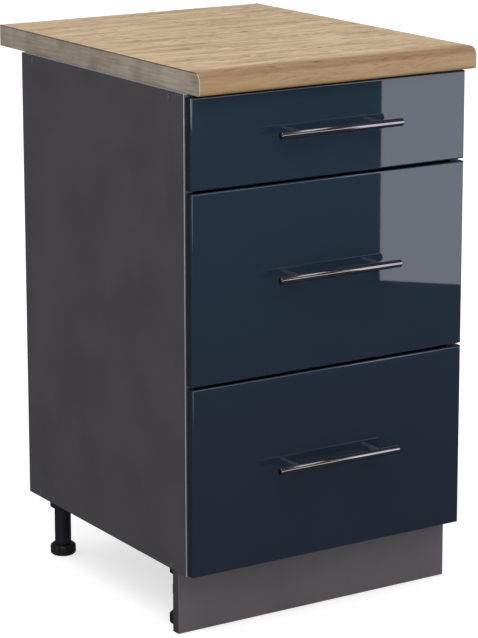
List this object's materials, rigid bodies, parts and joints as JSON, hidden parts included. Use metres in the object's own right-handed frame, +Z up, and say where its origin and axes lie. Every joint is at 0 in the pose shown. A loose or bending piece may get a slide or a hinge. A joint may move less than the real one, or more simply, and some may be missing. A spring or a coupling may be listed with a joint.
{
  "type": "base cabinet with drawers",
  "caption": "Kitchen base unit with a rounded oak-print worktop, gloss navy drawer fronts, bar handles, a plinth and adjustable legs; the drawers slide on roller runners.",
  "frame": {"origin": "on the floor, in the middle of the whole outline seen from above (worktop and handles included)", "axes": "+Z up, +Y from the drawer fronts to the back, +X to the right as seen from the front"},
  "size_m": [0.506, 0.635, 0.87],
  "materials": {
    "oak_laminate": "pressed laminate with a light oak print, fine satin grain, rounded nose",
    "oak_end_strip": "thin end strip with the same print, greyer",
    "anthracite_melamine": "melamine-faced chipboard, matt anthracite",
    "plinth_melamine": "melamine-faced chipboard, matt anthracite",
    "edge_band": "glued plastic edge band, satin anthracite",
    "back_hdf": "thin lacquered fibreboard, anthracite",
    "navy_gloss": "fibreboard in a high-gloss navy foil with rounded edges",
    "coated_steel": "roll-formed steel, grey powder coat",
    "drawer_board": "melamine-faced chipboard, light grey",
    "nylon": "moulded white nylon",
    "stainless": "brushed stainless steel",
    "zinc_screw": "zinc-plated steel",
    "black_plastic": "moulded black plastic"
  },
  "bodies": {
    "carcass": {"back_panel": "back_hdf", "bottom_panel": "anthracite_melamine", "confirmat_screws": "zinc_screw", "leg_front_left": "black_plastic", "leg_front_right": "black_plastic", "leg_rear_left": "black_plastic", "leg_rear_right": "black_plastic", "plinth_board": "plinth_melamine", "plinth_clips": "black_plastic", "runner_1_left": "coated_steel", "runner_1_right": "coated_steel", "runner_2_left": "coated_steel", "runner_2_right": "coated_steel", "runner_3_left": "coated_steel", "runner_3_right": "coated_steel", "runner_screws": "zinc_screw", "side_edge_bands": "edge_band", "side_panel_left": "anthracite_melamine", "side_panel_right": "anthracite_melamine", "top_rail_front": "anthracite_melamine", "top_rail_rear": "anthracite_melamine", "worktop": "oak_laminate", "worktop_end_bands": "oak_end_strip", "worktop_screws": "zinc_screw"},
    "drawer_1": {"drawer_1_back": "drawer_board", "drawer_1_bottom": "drawer_board", "drawer_1_front": "navy_gloss", "drawer_1_side_left": "coated_steel", "drawer_1_side_right": "coated_steel", "handle_1_bar": "stainless", "handle_1_posts": "stainless", "handle_1_screws": "zinc_screw"},
    "front_rollers_1": {"front_rollers_1": "nylon"},
    "rear_rollers_1": {"rear_rollers_1": "nylon"},
    "drawer_2": {"drawer_2_back": "drawer_board", "drawer_2_bottom": "drawer_board", "drawer_2_front": "navy_gloss", "drawer_2_side_left": "coated_steel", "drawer_2_side_right": "coated_steel", "gallery_rods_2": "coated_steel", "handle_2_bar": "stainless", "handle_2_posts": "stainless", "handle_2_screws": "zinc_screw"},
    "front_rollers_2": {"front_rollers_2": "nylon"},
    "rear_rollers_2": {"rear_rollers_2": "nylon"},
    "drawer_3": {"drawer_3_back": "drawer_board", "drawer_3_bottom": "drawer_board", "drawer_3_front": "navy_gloss", "drawer_3_side_left": "coated_steel", "drawer_3_side_right": "coated_steel", "gallery_rods_3": "coated_steel", "handle_3_bar": "stainless", "handle_3_posts": "stainless", "handle_3_screws": "zinc_screw"},
    "front_rollers_3": {"front_rollers_3": "nylon"},
    "rear_rollers_3": {"rear_rollers_3": "nylon"},
    "foot_front_left": {"foot_front_left": "black_plastic"},
    "foot_front_right": {"foot_front_right": "black_plastic"},
    "foot_rear_left": {"foot_rear_left": "black_plastic"},
    "foot_rear_right": {"foot_rear_right": "black_plastic"}
  },
  "joints": [
    {"name": "drawer_1_slide", "type": "slide", "parent": "carcass", "child": "drawer_1", "axis": [0, -1, 0], "range_m": [0, 0.345]},
    {"name": "front_rollers_1_spin", "type": "hinge", "parent": "carcass", "child": "front_rollers_1", "pos_m": [-0.003, -0.2545, 0.7312], "axis": [1, 0, 0], "range_deg": [0, 2200]},
    {"name": "rear_rollers_1_spin", "type": "hinge", "parent": "drawer_1", "child": "rear_rollers_1", "pos_m": [-0.003, 0.1645, 0.7305], "axis": [1, 0, 0], "range_deg": [0, 2200]},
    {"name": "drawer_2_slide", "type": "slide", "parent": "carcass", "child": "drawer_2", "axis": [0, -1, 0], "range_m": [0, 0.345]},
    {"name": "front_rollers_2_spin", "type": "hinge", "parent": "carcass", "child": "front_rollers_2", "pos_m": [-0.003, -0.2545, 0.4352], "axis": [1, 0, 0], "range_deg": [0, 2200]},
    {"name": "rear_rollers_2_spin", "type": "hinge", "parent": "drawer_2", "child": "rear_rollers_2", "pos_m": [-0.003, 0.1645, 0.4345], "axis": [1, 0, 0], "range_deg": [0, 2200]},
    {"name": "drawer_3_slide", "type": "slide", "parent": "carcass", "child": "drawer_3", "axis": [0, -1, 0], "range_m": [0, 0.345]},
    {"name": "front_rollers_3_spin", "type": "hinge", "parent": "carcass", "child": "front_rollers_3", "pos_m": [-0.003, -0.2545, 0.1392], "axis": [1, 0, 0], "range_deg": [0, 2200]},
    {"name": "rear_rollers_3_spin", "type": "hinge", "parent": "drawer_3", "child": "rear_rollers_3", "pos_m": [-0.003, 0.1645, 0.1385], "axis": [1, 0, 0], "range_deg": [0, 2200]},
    {"name": "foot_front_left_turn", "type": "hinge", "parent": "carcass", "child": "foot_front_left", "pos_m": [-0.219, -0.2025, 0], "axis": [0, 0, 1], "range_deg": [0, 2880]},
    {"name": "foot_front_right_turn", "type": "hinge", "parent": "carcass", "child": "foot_front_right", "pos_m": [0.213, -0.2025, 0], "axis": [0, 0, 1], "range_deg": [0, 2880]},
    {"name": "foot_rear_left_turn", "type": "hinge", "parent": "carcass", "child": "foot_rear_left", "pos_m": [-0.219, 0.1815, 0], "axis": [0, 0, 1], "range_deg": [0, 2880]},
    {"name": "foot_rear_right_turn", "type": "hinge", "parent": "carcass", "child": "foot_rear_right", "pos_m": [0.213, 0.1815, 0], "axis": [0, 0, 1], "range_deg": [0, 2880]}
  ],
  "couplings": [
    {"joint": "front_rollers_1_spin", "follows": "drawer_1_slide", "rad_per_m": 111.11},
    {"joint": "rear_rollers_1_spin", "follows": "drawer_1_slide", "rad_per_m": 111.11},
    {"joint": "front_rollers_2_spin", "follows": "drawer_2_slide", "rad_per_m": 111.11},
    {"joint": "rear_rollers_2_spin", "follows": "drawer_2_slide", "rad_per_m": 111.11},
    {"joint": "front_rollers_3_spin", "follows": "drawer_3_slide", "rad_per_m": 111.11},
    {"joint": "rear_rollers_3_spin", "follows": "drawer_3_slide", "rad_per_m": 111.11}
  ]
}
